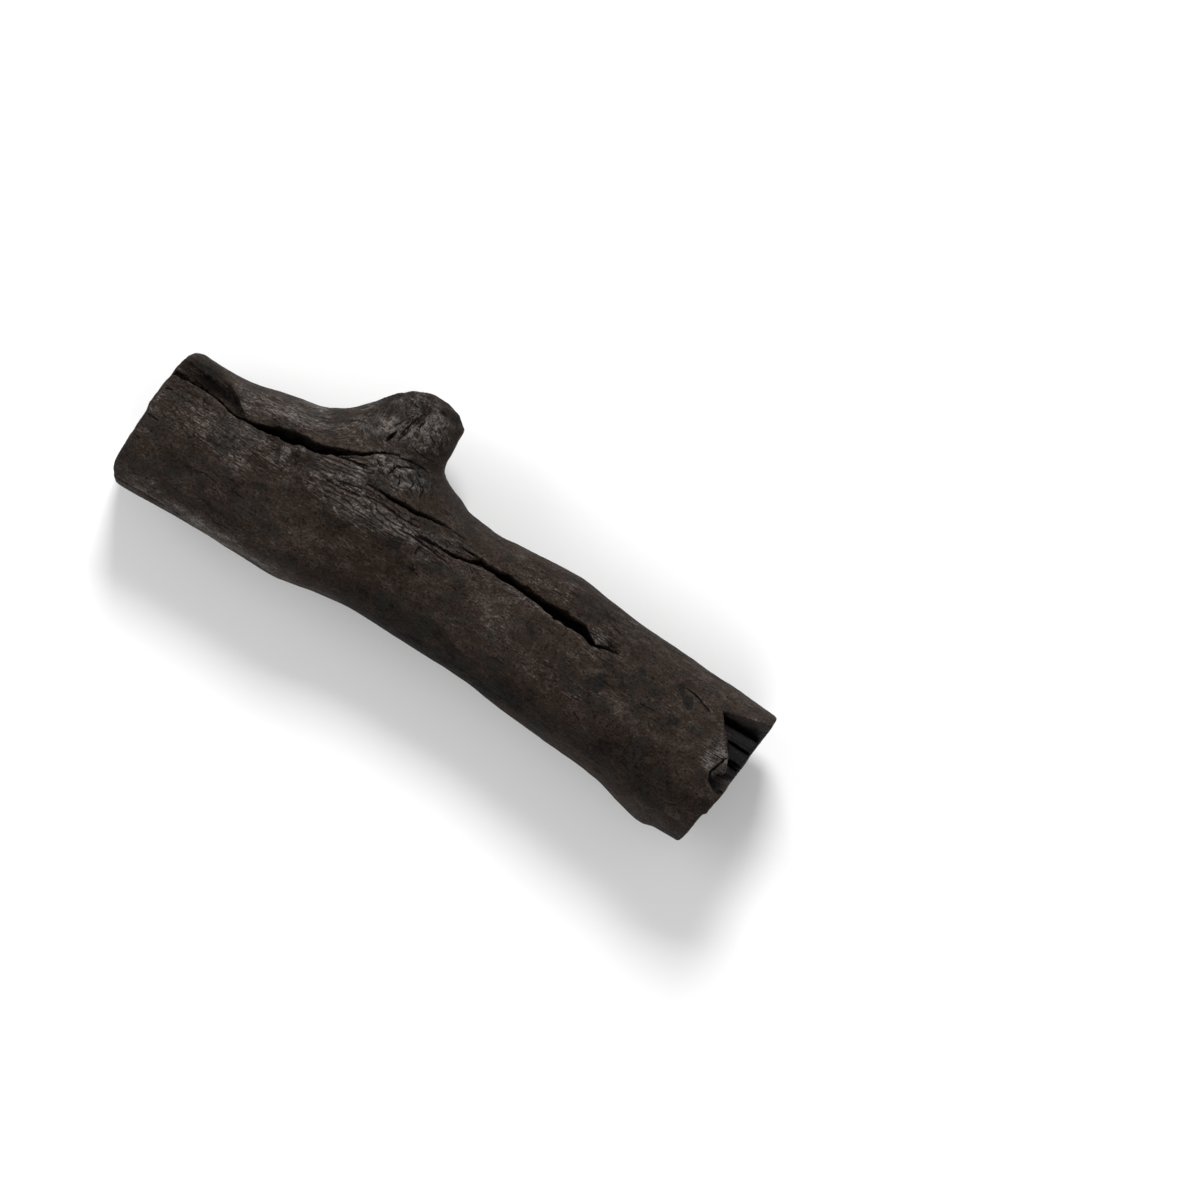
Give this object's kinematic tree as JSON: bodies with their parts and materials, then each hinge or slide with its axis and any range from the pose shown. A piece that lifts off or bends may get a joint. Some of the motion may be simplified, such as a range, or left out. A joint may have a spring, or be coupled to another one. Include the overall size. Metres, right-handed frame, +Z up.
{
  "type": "charcoal lump",
  "caption": "Natural lump of charcoal: a straight length of charred branch with a side stub, long drying fissures and a broken corner.",
  "frame": {"origin": "Middle of the bounding box, at its lowest point, in the plane of the flat that the lump lies on.", "axes": "+X runs along the branch from the rounded saw cut to the end with the broken corner. +Y points towards the side stub. +Z is up from the flat, towards the side with the long fissures."},
  "size_m": [0.1885, 0.0674, 0.0416],
  "materials": {
    "char": "matte"
  },
  "bodies": {
    "root": {"charcoal_lump": "char"}
  },
  "joints": []
}
